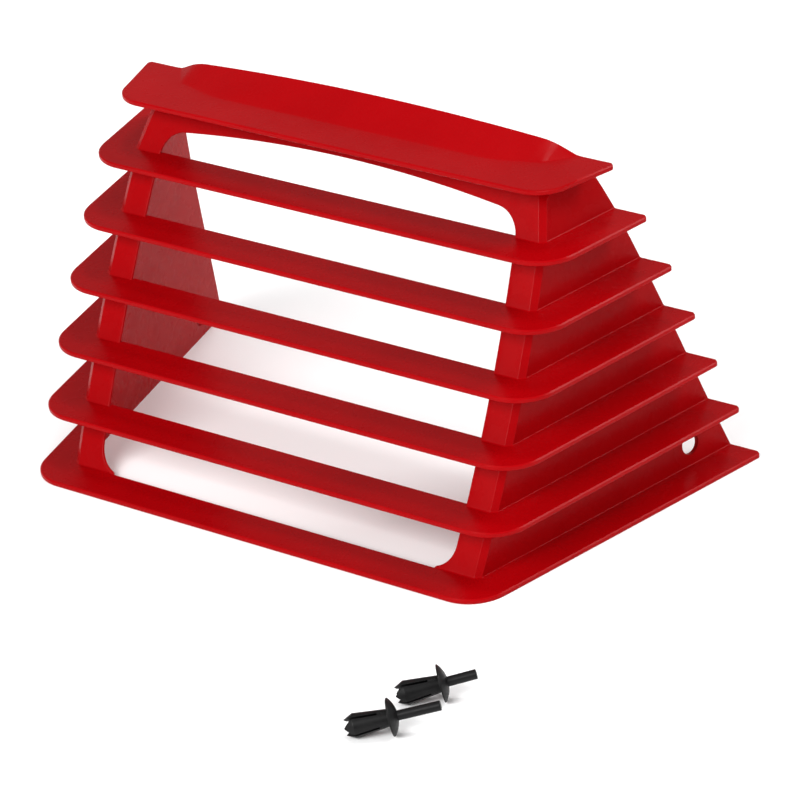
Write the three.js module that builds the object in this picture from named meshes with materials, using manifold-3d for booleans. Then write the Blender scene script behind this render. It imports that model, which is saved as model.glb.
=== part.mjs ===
// Louvred cowl vent with its two drive rivets. Millimetres, +Z up, +X to the vent's right, -Y out of its front.
// The vent is a thin hollow shell: a front wall that leans back and carries one large opening, two flaring
// side walls and a shallow hood. Seven level fins wrap round the front and sides, and five of them cross the
// opening as slats. The back and the bottom are open. All rear edges lie in one sloping plane.
// The origin is the centre of the underside of the bottom fin's front strip.
import * as THREE from 'three';
import { mergeVertices } from 'three/addons/utils/BufferGeometryUtils.js';
import Module from 'manifold-3d';

// Fins
const FIN_COUNT = 7;
const FIN_PITCH = 20;
const FIN_THICKNESS = 1.8;
const FIN_OVERHANG = 13.2; // from a fin's outer edge to the wall's outer face
const FIN_CORNER_RADIUS = 15;
const FIN_TIP_RADIUS = 1.4;
const SLAT_DEPTH = 15.2;
const BASE_SLAT_DEPTH = 13.9;
const TOP_FIN = { halfWidth: 88.4, flare: 0.283, cornerRadius: 12 };
const BASE_FIN = { halfWidth: 94.3, flare: 0.223 };

// Overall form, measured to the fins' outer edges
const FRONT_LEAN = 1 / 2; // the front edges step back by this much per millimetre of height
const REAR_LEAN = 1 / 3; // the rear edges step forward by this much per millimetre of height
const BASE_DEPTH = 131.3; // front edge of the base fin to the rear plane, at the underside
const BASE_LIP = 0.8; // the base fin stands this much further out than the others' line
const WIDEST_HALF_WIDTH = 97.6; // half width across the front corners
const WIDEST_HEIGHT = 52;
const SIDE_BOW = 2.2; // lost from the half width at 50 mm above or below the widest height
const SIDE_FLARE = 0.188; // half width gained per millimetre of depth
const BASE_EXTRA_FLARE = 0.035;
const FLARE_FADE_HEIGHT = 110;

// Shell
const WALL = 1.6;
const WALL_CORNER_RADIUS = 2;
const HOOD_CORNER_RADIUS = 21;
const HOOD_RISE = 7.2; // arched rear edge of the hood above the top fin
const HOOD_DROOP = 2; // lost from that rise at 60 mm from the centre
const HOOD_SHOULDER = 70; // the arch falls to its ends beyond this distance from the centre
const HOOD_SETBACK = 1.1; // the hood's front meets the top fin this much further back than the wall's line
const OPENING_HALF_WIDTH = 75.6;
const OPENING_BOW = 1.4; // lost from the opening's half width at 42 mm above or below its middle
const OPENING_MIDDLE = 50;
const OPENING_TOP = 113.1;
const OPENING_TOP_DROOP = 3.5; // lost from the opening's top at 65.5 mm from the centre
const OPENING_RADIUS = 8.5;
const RIVET_HOLE = { radius: 3.7, y: 112.9, z: 9.3 };
const GAP = 0.3; // between neighbouring solids

// Drive rivets, each with its axis along its own +Z and its head's underside at 0
const RIVET_SIDES = 32;
const HEAD_RADIUS = 6.2;
const HEAD_HEIGHT = 2.6;
const HEAD_RIM = 0.35;
const SHANK_RADIUS = 2.8;
const SHOULDER_RADIUS = 4;
const SHOULDER_DEPTH = 11.3;
const TIP_RADIUS = 2.5;
const TIP_DEPTH = 14.35;
const LEG_SLOT = 0.8;
const LEG_SLOT_DEPTH = 3.5;
const LEG_NOTCH = 3.4;
const PIN_RADIUS = 1.62;
const PIN_CLEARANCE = 0.2;
const PIN_LENGTH = 16;
const PIN_CHAMFER = 0.2;
const RIVETS = [
  { name: 'rivet_1', x: 114.5, y: -49.9, heading: 38.5, roll: 68, pinEnd: 11.8 },
  { name: 'rivet_2', x: 111.8, y: -73.5, heading: 35.5, roll: 66, pinEnd: 16.3 },
];

// The origin sits this far behind the base fin's front edge
const ORIGIN_DEPTH = SLAT_DEPTH / 2;

const wasm = await Module();
wasm.setup();

function solidOf(geometry) {
  const bare = geometry.index ? geometry.toNonIndexed() : geometry.clone();
  bare.deleteAttribute('normal');
  bare.deleteAttribute('uv');
  const merged = mergeVertices(bare, 1e-5);
  return new wasm.Manifold(new wasm.Mesh({
    numProp: 3,
    vertProperties: new Float32Array(merged.attributes.position.array),
    triVerts: new Uint32Array(merged.index.array),
  }));
}

function geometryOf(solid) {
  const mesh = solid.getMesh();
  const geometry = new THREE.BufferGeometry();
  geometry.setAttribute('position', new THREE.BufferAttribute(mesh.vertProperties, 3));
  geometry.setIndex(new THREE.BufferAttribute(mesh.triVerts, 1));
  geometry.computeVertexNormals();
  return geometry;
}

// Points along the polyline, with each listed corner replaced by an arc of its radius
function roundCorners(points, radii, steps) {
  const outline = [];
  points.forEach((corner, index) => {
    const radius = radii[index];
    if (!radius) {
      outline.push(corner.clone());
      return;
    }
    const before = points[(index + points.length - 1) % points.length];
    const after = points[(index + 1) % points.length];
    const toBefore = before.clone().sub(corner).normalize();
    const toAfter = after.clone().sub(corner).normalize();
    const halfAngle = Math.acos(toBefore.dot(toAfter)) / 2;
    const bisector = toBefore.clone().add(toAfter).normalize();
    const centre = corner.clone().addScaledVector(bisector, radius / Math.sin(halfAngle));
    const reach = radius / Math.tan(halfAngle);
    const start = corner.clone().addScaledVector(toBefore, reach).sub(centre);
    const end = corner.clone().addScaledVector(toAfter, reach).sub(centre);
    const sweep = Math.atan2(start.cross(end), start.dot(end));
    for (let step = 0; step <= steps; step += 1) {
      outline.push(start.clone().rotateAround(new THREE.Vector2(), (sweep * step) / steps).add(centre));
    }
  });
  return outline;
}

function prism(outline, depth) {
  return new THREE.ExtrudeGeometry(new THREE.Shape(outline), { depth, bevelEnabled: false });
}

// The body's form as a function of height, with y measured back from the base fin's front edge
const finTop = (index) => FIN_THICKNESS + (FIN_COUNT - index) * FIN_PITCH;
const frontEdge = (z) => BASE_LIP + (z - FIN_THICKNESS) * FRONT_LEAN;
const rearEdge = (z) => BASE_DEPTH - z * REAR_LEAN;

// 0 up to the second fin, rising to 1 at the top one
function topBlend(z) {
  return THREE.MathUtils.clamp((z - finTop(2)) / (finTop(1) - finTop(2)), 0, 1);
}

function halfWidth(z) {
  const belowTop = Math.min(z, finTop(2));
  const bowed = WIDEST_HALF_WIDTH - SIDE_BOW * ((belowTop - WIDEST_HEIGHT) / 50) ** 2;
  return THREE.MathUtils.lerp(bowed, TOP_FIN.halfWidth, topBlend(z));
}

function flare(z) {
  const belowTop = Math.min(z, finTop(2));
  const height = (FLARE_FADE_HEIGHT - belowTop) / FLARE_FADE_HEIGHT;
  return THREE.MathUtils.lerp(SIDE_FLARE + BASE_EXTRA_FLARE * height ** 3, TOP_FIN.flare, topBlend(z));
}

// Height of the hood's rear edge above the top fin, for a hood that ends at halfSpan
function archRise(x, halfSpan) {
  const beyond = Math.max(0, (Math.abs(x) - HOOD_SHOULDER) / (halfSpan - HOOD_SHOULDER));
  return (HOOD_RISE - HOOD_DROOP * (x / 60) ** 2) * Math.max(0, 1 - beyond ** 1.5);
}

// Distance of a side wall's face from the middle plane. inset 0 is the outer face, WALL the inner one.
function wallSide(y, z, inset) {
  return halfWidth(z) + flare(z) * (y - frontEdge(z)) - FIN_OVERHANG - inset;
}

const CORNER_STEPS = 8;
const FRONT_STEPS = 12;

// Plan of the wall's face at one height, from its left rear end round the front to its right rear end
function wallPlan(z, inset, overshoot) {
  const front = frontEdge(z) + FIN_OVERHANG + inset + HOOD_SETBACK * topBlend(z) ** 2;
  const rear = rearEdge(z) + overshoot;
  const corners = [
    new THREE.Vector2(-wallSide(rear, z, inset), rear),
    new THREE.Vector2(-wallSide(front, z, inset), front),
    new THREE.Vector2(wallSide(front, z, inset), front),
    new THREE.Vector2(wallSide(rear, z, inset), rear),
  ];
  const wanted = THREE.MathUtils.lerp(WALL_CORNER_RADIUS, HOOD_CORNER_RADIUS, topBlend(z) ** 2);
  const radius = Math.max(wanted - inset, 0.3);
  const rounded = roundCorners(corners, [0, radius, radius, 0], CORNER_STEPS);
  const leftEnd = rounded[CORNER_STEPS + 1];
  const rightStart = rounded[CORNER_STEPS + 2];
  const between = [];
  for (let step = 1; step < FRONT_STEPS; step += 1) {
    between.push(leftEnd.clone().lerp(rightStart, step / FRONT_STEPS));
  }
  return [...rounded.slice(0, CORNER_STEPS + 2), ...between, ...rounded.slice(CORNER_STEPS + 2)];
}

// The solid inside the wall's face: level rows up the wall, then one row along the hood's arched rear edge
function wallSolid(inset, overshoot) {
  const levels = [-overshoot];
  for (let z = FIN_PITCH / 2; z < finTop(2); z += FIN_PITCH / 2) {
    levels.push(z);
  }
  for (let step = 0; step <= 5; step += 1) {
    levels.push(THREE.MathUtils.lerp(finTop(2), finTop(1), step / 5));
  }
  const rows = levels.map((z) => wallPlan(z, inset, overshoot).map((p) => new THREE.Vector3(p.x, p.y, z)));
  const eaves = rows[rows.length - 1];
  const halfSpan = eaves[eaves.length - 1].x;
  rows.push(eaves.map((point) => {
    const rise = Math.max(archRise(point.x, halfSpan) - inset * 1.1, 0.1);
    const z = finTop(1) + rise;
    return new THREE.Vector3(point.x, rearEdge(z) + overshoot, z);
  }));

  const width = rows[0].length;
  const vertices = rows.flat();
  const triangles = [];
  const corner = (row, column) => row * width + column;
  for (let row = 0; row < rows.length - 1; row += 1) {
    for (let column = 0; column < width - 1; column += 1) {
      const a = corner(row, column);
      const b = corner(row, column + 1);
      const c = corner(row + 1, column + 1);
      const d = corner(row + 1, column);
      if (column < (width - 1) / 2) {
        triangles.push([a, b, c], [a, c, d]);
      } else {
        triangles.push([a, b, d], [b, c, d]);
      }
    }
  }
  const fan = (loop, centre) => {
    vertices.push(centre);
    loop.forEach((vertex, index) => {
      triangles.push([vertices.length - 1, vertex, loop[(index + 1) % loop.length]]);
    });
  };
  const bottom = rows[0].map((_, column) => corner(0, column)).reverse();
  fan(bottom, new THREE.Vector3(0, rearEdge(0) / 2, levels[0]));
  const rear = [];
  rows.forEach((_, row) => rear.push(corner(row, 0)));
  for (let column = 1; column < width - 1; column += 1) {
    rear.push(corner(rows.length - 1, column));
  }
  for (let row = rows.length - 1; row >= 0; row -= 1) {
    rear.push(corner(row, width - 1));
  }
  const middle = finTop(1) / 2;
  fan(rear, new THREE.Vector3(0, rearEdge(middle) + overshoot, middle));

  const geometry = new THREE.BufferGeometry().setFromPoints(triangles.flat().map((index) => vertices[index]));
  return solidOf(geometry);
}

// The opening through the front wall, grown outwards by clearance. Between its rounded lower corners it runs
// on down through the base.
function openingSolid(clearance) {
  const side = (z) => OPENING_HALF_WIDTH - OPENING_BOW * ((z - OPENING_MIDDLE) / 42) ** 2 + clearance;
  const top = (x) => OPENING_TOP - OPENING_TOP_DROOP * (x / 65.5) ** 2 + clearance;
  const sill = FIN_THICKNESS - clearance;
  const crown = top(side(OPENING_TOP));
  const foot = side(sill) - OPENING_RADIUS - clearance;
  const half = [new THREE.Vector2(foot + clearance, -1), new THREE.Vector2(foot + clearance, sill)];
  half.push(new THREE.Vector2(side(sill), sill));
  for (let z = 20; z <= 90; z += 10) {
    half.push(new THREE.Vector2(side(z), z));
  }
  half.push(new THREE.Vector2(side(crown), crown));
  for (let x = 60; x > 0; x -= 12) {
    half.push(new THREE.Vector2(x, top(x)));
  }
  const points = [...half, ...half.map((p) => new THREE.Vector2(-p.x, p.y)).reverse()];
  const radii = points.map(() => 0);
  const crownIndex = half.findIndex((p) => p.y === crown);
  [2, crownIndex, points.length - 1 - crownIndex, points.length - 3].forEach((index) => {
    radii[index] = OPENING_RADIUS + clearance;
  });
  const geometry = prism(roundCorners(points, radii, 6), 100);
  geometry.rotateX(Math.PI / 2);
  geometry.translate(0, 90, 0);
  return solidOf(geometry);
}

// Everything behind the sloping rear plane
function behindRearPlane() {
  const block = new THREE.BoxGeometry(400, 200, 600);
  block.translate(0, 100, 0);
  block.rotateX(Math.atan(REAR_LEAN));
  block.translate(0, BASE_DEPTH, 0);
  return solidOf(block);
}

// One hole square through the foot of each side wall
function rivetHoles() {
  const { radius, y, z } = RIVET_HOLE;
  const centre = new THREE.Vector3(wallSide(y, z, WALL / 2), y, z);
  const normal = new THREE.Vector3(
    2,
    wallSide(y - 1, z, 0) - wallSide(y + 1, z, 0),
    wallSide(y, z - 1, 0) - wallSide(y, z + 1, 0),
  ).normalize();
  const right = new THREE.CylinderGeometry(radius, radius, 20, RIVET_SIDES);
  right.applyQuaternion(new THREE.Quaternion().setFromUnitVectors(new THREE.Vector3(0, 1, 0), normal));
  right.translate(centre.x, centre.y, centre.z);
  const hole = solidOf(right);
  return hole.add(hole.mirror([1, 0, 0]));
}

function shellGeometry() {
  const walls = wallSolid(0, 0).subtract(wallSolid(WALL, 1));
  return geometryOf(walls.subtract(openingSolid(0)).subtract(rivetHoles()));
}

function finShape(index) {
  const z = finTop(index);
  const shape = { z, front: frontEdge(z), halfWidth: halfWidth(z), flare: flare(z), cornerRadius: FIN_CORNER_RADIUS };
  if (index === 1) {
    shape.cornerRadius = TOP_FIN.cornerRadius;
  }
  if (index === FIN_COUNT) {
    Object.assign(shape, { front: 0, halfWidth: BASE_FIN.halfWidth, flare: BASE_FIN.flare });
  }
  return shape;
}

function finGeometry(index) {
  const { z, front, halfWidth: half, flare: spread, cornerRadius } = finShape(index);
  const rear = rearEdge(z - FIN_THICKNESS) + 1;
  const tip = rearEdge(z);
  const tipHalf = half + spread * (tip - front);
  const corners = [
    new THREE.Vector2(-half, front),
    new THREE.Vector2(half, front),
    new THREE.Vector2(tipHalf, tip),
    new THREE.Vector2(tipHalf - 4, rear),
    new THREE.Vector2(4 - tipHalf, rear),
    new THREE.Vector2(-tipHalf, tip),
  ];
  const radii = [cornerRadius, cornerRadius, FIN_TIP_RADIUS, 0, 0, FIN_TIP_RADIUS];
  const blank = prism(roundCorners(corners, radii, CORNER_STEPS), FIN_THICKNESS);
  blank.translate(0, 0, z - FIN_THICKNESS);
  const plate = solidOf(blank).subtract(behindRearPlane());
  const flange = plate.subtract(wallSolid(-GAP, 1));
  if (index === 1) {
    return geometryOf(flange);
  }
  const depth = index === FIN_COUNT ? BASE_SLAT_DEPTH : SLAT_DEPTH;
  const slatLimit = new THREE.BoxGeometry(300, depth, 2 * FIN_THICKNESS);
  slatLimit.translate(0, front + depth / 2, z - FIN_THICKNESS / 2);
  const slat = plate.intersect(openingSolid(-GAP)).intersect(solidOf(slatLimit));
  return geometryOf(flange.add(slat));
}

function rivetBodyGeometry() {
  const bore = PIN_RADIUS + PIN_CLEARANCE;
  const profile = [
    [bore, -TIP_DEPTH],
    [TIP_RADIUS, -TIP_DEPTH],
    [SHOULDER_RADIUS, -SHOULDER_DEPTH],
    [SHANK_RADIUS, 0],
    [HEAD_RADIUS, 0],
    [HEAD_RADIUS, HEAD_RIM],
  ];
  const rise = HEAD_HEIGHT - HEAD_RIM;
  const domeRadius = (HEAD_RADIUS ** 2 + rise ** 2) / (2 * rise);
  const domeHeight = (radius) => HEAD_HEIGHT - domeRadius + Math.sqrt(domeRadius ** 2 - radius ** 2);
  for (let step = 1; step <= 6; step += 1) {
    const radius = THREE.MathUtils.lerp(HEAD_RADIUS, bore, step / 6);
    profile.push([radius, domeHeight(radius)]);
  }
  profile.push([bore, -TIP_DEPTH]);
  const turned = new THREE.LatheGeometry(profile.map(([r, z]) => new THREE.Vector2(r, z)), RIVET_SIDES);
  turned.rotateX(Math.PI / 2);
  let body = solidOf(turned);
  for (const angle of [45, 135]) {
    const length = TIP_DEPTH - LEG_SLOT_DEPTH + 1;
    const slot = new THREE.BoxGeometry(4 * SHOULDER_RADIUS, LEG_SLOT, length);
    slot.translate(0, 0, -LEG_SLOT_DEPTH - length / 2);
    slot.rotateZ(THREE.MathUtils.degToRad(angle));
    const notch = prism([
      new THREE.Vector2(0, -SHOULDER_DEPTH),
      new THREE.Vector2(-LEG_NOTCH / 2, -TIP_DEPTH - 0.01),
      new THREE.Vector2(LEG_NOTCH / 2, -TIP_DEPTH - 0.01),
    ], 4 * SHOULDER_RADIUS);
    notch.translate(0, 0, -2 * SHOULDER_RADIUS);
    notch.rotateX(Math.PI / 2);
    notch.rotateZ(THREE.MathUtils.degToRad(angle + 90));
    body = body.subtract(solidOf(slot)).subtract(solidOf(notch));
  }
  return geometryOf(body);
}

function pinGeometry(end) {
  const start = end - PIN_LENGTH;
  const profile = [
    [0, start],
    [PIN_RADIUS - PIN_CHAMFER, start],
    [PIN_RADIUS, start + PIN_CHAMFER],
    [PIN_RADIUS, end - PIN_CHAMFER],
    [PIN_RADIUS - PIN_CHAMFER, end],
    [0, end],
  ];
  const turned = new THREE.LatheGeometry(profile.map(([r, z]) => new THREE.Vector2(r, z)), RIVET_SIDES);
  turned.rotateX(Math.PI / 2);
  return turned;
}

const redPlastic = () => new THREE.MeshStandardMaterial({ color: 0xb5060f, roughness: 0.38, metalness: 0 });
const blackNylon = () => new THREE.MeshStandardMaterial({ color: 0x1c1c1e, roughness: 0.45, metalness: 0 });

function part(name, geometry, material) {
  const mesh = new THREE.Mesh(geometry, material);
  mesh.name = name;
  return mesh;
}

const model = new THREE.Group();

const vent = new THREE.Group();
vent.position.y = -ORIGIN_DEPTH;
vent.add(part('vent_shell', shellGeometry(), redPlastic()));
for (let index = 1; index <= FIN_COUNT; index += 1) {
  vent.add(part(`fin_${index}`, finGeometry(index), redPlastic()));
}
model.add(vent);

// A loose rivet lies on its head's rim and on the shoulders of its legs
const REST_TILT = Math.atan((HEAD_RADIUS - SHOULDER_RADIUS) / SHOULDER_DEPTH);
for (const { name, x, y, heading, roll, pinEnd } of RIVETS) {
  const rivet = new THREE.Group();
  rivet.position.set(x, y - ORIGIN_DEPTH, HEAD_RADIUS * Math.cos(REST_TILT));
  rivet.rotation.set(0, Math.PI / 2 - REST_TILT, THREE.MathUtils.degToRad(heading), 'ZYX');
  const body = part(`${name}_body`, rivetBodyGeometry(), blackNylon());
  body.rotation.z = THREE.MathUtils.degToRad(roll);
  rivet.add(body, part(`${name}_pin`, pinGeometry(pinEnd), blackNylon()));
  model.add(rivet);
}

export default model;
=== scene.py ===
"""Louvred cowl vent and its two push-in drive rivets, laid out as a Blender add-on and run as a script.

Lengths in the shape functions are in millimetres and are turned into metres when a mesh is made. There y is
measured from the bottom fin's front edge, and in_row_frame moves it. In the finished scene the vent stands on
z = 0, its louvred front faces -Y, and y = 0 is half a slat's depth behind that edge.
"""

import math

import bmesh
import bpy
import numpy as np
from mathutils import Matrix, Vector


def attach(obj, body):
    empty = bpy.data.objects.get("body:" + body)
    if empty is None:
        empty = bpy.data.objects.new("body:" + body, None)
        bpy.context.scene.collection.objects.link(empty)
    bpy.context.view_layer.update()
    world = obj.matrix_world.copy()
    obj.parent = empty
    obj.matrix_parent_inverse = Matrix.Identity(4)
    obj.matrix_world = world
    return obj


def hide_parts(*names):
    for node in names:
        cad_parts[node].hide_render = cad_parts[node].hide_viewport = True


bl_info = {
    "name": "Louvred cowl vent",
    "version": (1, 0, 0),
    "blender": (4, 5, 0),
    "location": "3D View > Sidebar > Cowl Vent",
    "description": "Builds a louvred cowl vent, its drive rivets and a plain stage",
    "category": "Add Mesh",
}

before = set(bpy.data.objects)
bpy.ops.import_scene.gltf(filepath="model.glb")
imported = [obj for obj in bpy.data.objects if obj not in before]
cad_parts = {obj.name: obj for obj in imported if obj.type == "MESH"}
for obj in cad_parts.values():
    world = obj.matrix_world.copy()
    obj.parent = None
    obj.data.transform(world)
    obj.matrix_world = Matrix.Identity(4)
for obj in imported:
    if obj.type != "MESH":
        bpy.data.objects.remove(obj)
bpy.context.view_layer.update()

MM = 0.001

# Fins, counted from 1 at the top to 7 at the bottom
FIN_COUNT = 7
FIN_PITCH = 20.0
FIN_THICKNESS = 1.8
FIN_OVERHANG = 13.2
FIN_CORNER_RADIUS = 15.0
FIN_TIP_RADIUS = 1.4
SLAT_DEPTH = 15.2
SLAT_BACK_RADIUS = 0.5
WALL_OVERLAP = 0.8
ROOT_OVERLAP = 0.03
TOP_FIN = {"half_width": 88.4, "flare": 0.283, "corner_radius": 12.0}
BASE_FIN = {"half_width": 94.3, "flare": 0.223}

# Overall form
FRONT_LEAN = 1 / 2
REAR_LEAN = 1 / 3
BASE_DEPTH = 131.3
BASE_LIP = 0.8
WIDEST_HALF_WIDTH = 97.6
WIDEST_HEIGHT = 52.0
SIDE_BOW = 2.2
SIDE_BOW_REACH = 50.0
SIDE_FLARE = 0.188
BASE_EXTRA_FLARE = 0.035
FLARE_FADE_HEIGHT = 110.0

# Shell, hood and opening
CORNER_CUT = 1.75
CORNER_CUT_LOSS = 0.47
LEAST_CORNER_CUT = 0.6
CORNER_EDGE_RADIUS = 0.5
EAVES_CUT = 7.0
EAVES_FRONT_SHARE = 0.2
EAVES_CUT_HEIGHT = 7.0
HOOD_RISE = 7.2
HOOD_DROOP = 2.0
HOOD_DROOP_REACH = 60.0
HOOD_SHOULDER = 70.0
HOOD_FALL_POWER = 1.8
HOOD_SETBACK = 1.1
HOOD_FRONT = 75.5
HOOD_STRAIGHT = 53.0
HOOD_TURN_RADIUS = 30.0
HOOD_BEND_RADIUS = 5.0
HOOD_SHOULDER_LENGTH = 12.5
HOOD_HEADINGS = (16.0, 51.5)
OPENING_HALF_WIDTH = 75.6
OPENING_BOW = 1.4
OPENING_BOW_REACH = 42.0
OPENING_MIDDLE = 50.0
OPENING_TOP = 113.1
OPENING_TOP_DROOP = 3.5
OPENING_DROOP_REACH = 65.5
OPENING_RADIUS = 8.5
RIVET_HOLE = {"radius": 3.7, "y": 112.9, "z": 9.3}
ORIGIN_DEPTH = SLAT_DEPTH / 2
TIP_PULL = 0.1
OVERSHOOT = 1.6

# Drive rivets, each with its axis along its own +Z and its head's underside at 0
HEAD_RADIUS = 6.2
HEAD_HEIGHT = 2.6
HEAD_RIM = 0.35
HEAD_EDGE = 0.1
SHANK_RADIUS = 2.8
NECK_RADIUS = 0.35
SHOULDER_RADIUS = 4.0
SHOULDER_DEPTH = 11.3
TIP_RADIUS = 2.5
TIP_DEPTH = 14.35
LEG_SLOT = 0.8
LEG_SLOT_DEPTH = 3.5
LEG_NOTCH = 3.4
BORE_RADIUS = 1.82
BORE_MOUTH = 0.12
PIN_RADIUS = 1.62
PIN_LENGTH = 16.0
PIN_EDGE_RADIUS = 0.3
PIN_END_SINK = 0.03
PIN_MARK = {"radius": 0.55, "foot_radius": 0.45, "depth": 0.1}
AXIS_HOLE = 0.02
REST_TILT = math.atan((HEAD_RADIUS - SHOULDER_RADIUS) / SHOULDER_DEPTH)
RIVETS = [
    {"name": "rivet_1", "x": 114.5, "y": -49.9, "heading": 38.5, "roll": 68, "pin_end": 11.8},
    {"name": "rivet_2", "x": 111.8, "y": -73.5, "heading": 35.5, "roll": 66, "pin_end": 16.3},
]


# ---------------------------------------------------------------- sizes and colours a user may change

class VentSettings(bpy.types.PropertyGroup):
    wall: bpy.props.FloatProperty(
        name="Wall", description="Thickness of the shell's wall", default=0.0016, min=0.001, max=0.003,
        unit="LENGTH", precision=5)
    edge_radius: bpy.props.FloatProperty(
        name="Edge radius", description="Chamfer and rounding along the fins' rims", default=0.0004,
        min=0.0001, max=0.0008, unit="LENGTH", precision=5)
    root_radius: bpy.props.FloatProperty(
        name="Root radius", description="Fillet where a fin meets the wall", default=0.0005, min=0.0003,
        max=0.0015, unit="LENGTH", precision=5)
    opening_round: bpy.props.FloatProperty(
        name="Opening rounding", description="Rounding along the opening's front edge", default=0.00045,
        min=0.0001, max=0.001, unit="LENGTH", precision=5)
    colour: bpy.props.FloatVectorProperty(
        name="Colour", description="Colour of the moulded plastic", default=(0.285, 0.0005, 0.0018),
        min=0, max=1, size=3, subtype="COLOR")
    roughness: bpy.props.FloatProperty(
        name="Roughness", description="Mean roughness of the moulded plastic", default=0.27, min=0, max=1,
        subtype="FACTOR")


class RivetSettings(bpy.types.PropertyGroup):
    edge_radius: bpy.props.FloatProperty(
        name="Edge radius", description="Rounding along the rivets' edges", default=0.00012, min=0.00002,
        max=0.0003, unit="LENGTH", precision=5)
    colour: bpy.props.FloatVectorProperty(
        name="Colour", description="Colour of the nylon", default=(0.0028, 0.0026, 0.0028), min=0, max=1,
        size=3, subtype="COLOR")
    roughness: bpy.props.FloatProperty(
        name="Roughness", description="Mean roughness of the nylon", default=0.42, min=0, max=1,
        subtype="FACTOR")


class StageSettings(bpy.types.PropertyGroup):
    floor_radius: bpy.props.FloatProperty(
        name="Floor radius", description="Radius of the round floor", default=6.0, min=1, max=50,
        unit="LENGTH")
    floor_colour: bpy.props.FloatVectorProperty(
        name="Floor colour", description="Colour of the floor", default=(0.92, 0.92, 0.92), min=0, max=1,
        size=3, subtype="COLOR")
    world_strength: bpy.props.FloatProperty(
        name="Surround", description="Strength of the light from all round", default=0.42, min=0, max=5)
    key_power: bpy.props.FloatProperty(
        name="Key light", description="Power of the large light above the front", default=45.0, min=0,
        max=1000, unit="POWER")
    side_power: bpy.props.FloatProperty(
        name="Side light", description="Power of the tall light on the right", default=6.0, min=0,
        max=1000, unit="POWER")
    back_power: bpy.props.FloatProperty(
        name="Back light", description="Power of the light above the right rear", default=18.0, min=0,
        max=1000, unit="POWER")
    top_power: bpy.props.FloatProperty(
        name="Top light", description="Power of the light overhead", default=7.5, min=0,
        max=1000, unit="POWER")


# ---------------------------------------------------------------- the vent's form as functions of height

def fin_top(index):
    return FIN_THICKNESS + (FIN_COUNT - index) * FIN_PITCH


def smooth(t):
    """0 below 0, 1 above 1, and the cubic 3t^2 - 2t^3 between."""
    t = np.clip(t, 0, 1)
    return t * t * (3 - 2 * t)


def top_blend(z):
    return np.clip((z - fin_top(2)) / (fin_top(1) - fin_top(2)), 0, 1)


def front_edge(z):
    return BASE_LIP + (z - FIN_THICKNESS) * FRONT_LEAN


def rear_edge(z):
    return BASE_DEPTH - z * REAR_LEAN


def half_width(z):
    """A parabola in height, widest at WIDEST_HEIGHT, running to the top fin's own half width above fin 2."""
    below = np.minimum(z, fin_top(2))
    bowed = WIDEST_HALF_WIDTH - SIDE_BOW * ((below - WIDEST_HEIGHT) / SIDE_BOW_REACH) ** 2
    return bowed + (TOP_FIN["half_width"] - bowed) * top_blend(z)


def flare(z):
    """Half width gained per millimetre of depth: a constant, plus a cubic in height that fades upwards."""
    below = np.minimum(z, fin_top(2))
    low = SIDE_FLARE + BASE_EXTRA_FLARE * ((FLARE_FADE_HEIGHT - below) / FLARE_FADE_HEIGHT) ** 3
    return low + (TOP_FIN["flare"] - low) * top_blend(z)


def wall_front(z):
    return front_edge(z) + FIN_OVERHANG + HOOD_SETBACK * top_blend(z) ** 2


def wall_side(y, z):
    return half_width(z) + flare(z) * (y - front_edge(z)) - FIN_OVERHANG


def opening_side(z):
    return OPENING_HALF_WIDTH - OPENING_BOW * ((z - OPENING_MIDDLE) / OPENING_BOW_REACH) ** 2


def arch_rise(x, half_span):
    """A parabola across the hood, faded out from the shoulder to half_span by HOOD_FALL_POWER."""
    beyond = np.maximum(0, (np.abs(x) - HOOD_SHOULDER) / (half_span - HOOD_SHOULDER))
    crown = HOOD_RISE - HOOD_DROOP * (x / HOOD_DROOP_REACH) ** 2
    return crown * np.maximum(0, 1 - beyond ** HOOD_FALL_POWER)


# ---------------------------------------------------------------- plan outlines

ARC_STEPS = 16
STRAIGHT_SIDES = np.linspace(0, 0.95, 15)[1:]
TIP_STEPS = 6
ALL_SIDES = np.concatenate([STRAIGHT_SIDES, np.linspace(0.95, 1, TIP_STEPS + 3)[1:]])
# Every outline has ARC_STEPS + 1 points round its corner. The wall's and the hood's have 12 on two arcs and
# the rest on the straight piece between them.
CUT_ARC_POINTS = (6, 6)
HOOD_ARC_POINTS = (4, 8)
BETWEEN_ARCS = np.linspace(0, 1, ARC_STEPS - 9)[1:-1, None]


def column(values):
    return np.asarray(values, float)[:, None]


def corner_centre(front, side_at_zero, slope, radius):
    """Centre of the circle that touches the line y = front and the line x = side_at_zero + slope y."""
    y = front + radius
    return side_at_zero + slope * y - radius * np.sqrt(1 + slope ** 2), y


def half_outline(front, side_at_zero, slope, radius, rear, fronts, sides):
    """Right half of a plan outline, one row per level. It runs along y = front from the middle to the corner,
    round a circle that touches front and side, and along x = side_at_zero + slope y to y = rear. fronts and
    sides are the fractions of the two straight runs at which points lie."""
    centre_x, centre_y = corner_centre(front, side_at_zero, slope, radius)
    angle = -math.pi / 2 + column(math.pi / 2 - np.arctan(slope)) * np.linspace(0, 1, ARC_STEPS + 1)
    arc_x = column(centre_x) + column(radius) * np.cos(angle)
    arc_y = column(centre_y) + column(radius) * np.sin(angle)
    front_x = column(centre_x) * fronts
    side_y = arc_y[:, -1:] + (column(rear) - arc_y[:, -1:]) * sides
    x = np.hstack([front_x, arc_x, column(side_at_zero) + column(slope) * side_y])
    y = np.hstack([np.broadcast_to(column(front), front_x.shape), arc_y, side_y])
    return np.stack([x, y], -1)


def both_halves(half):
    """The outline from the left rear end round the front to the right rear end."""
    left = half[..., :0:-1, :] * np.array([-1.0, 1.0])
    return np.concatenate([left, half], -2)


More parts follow.
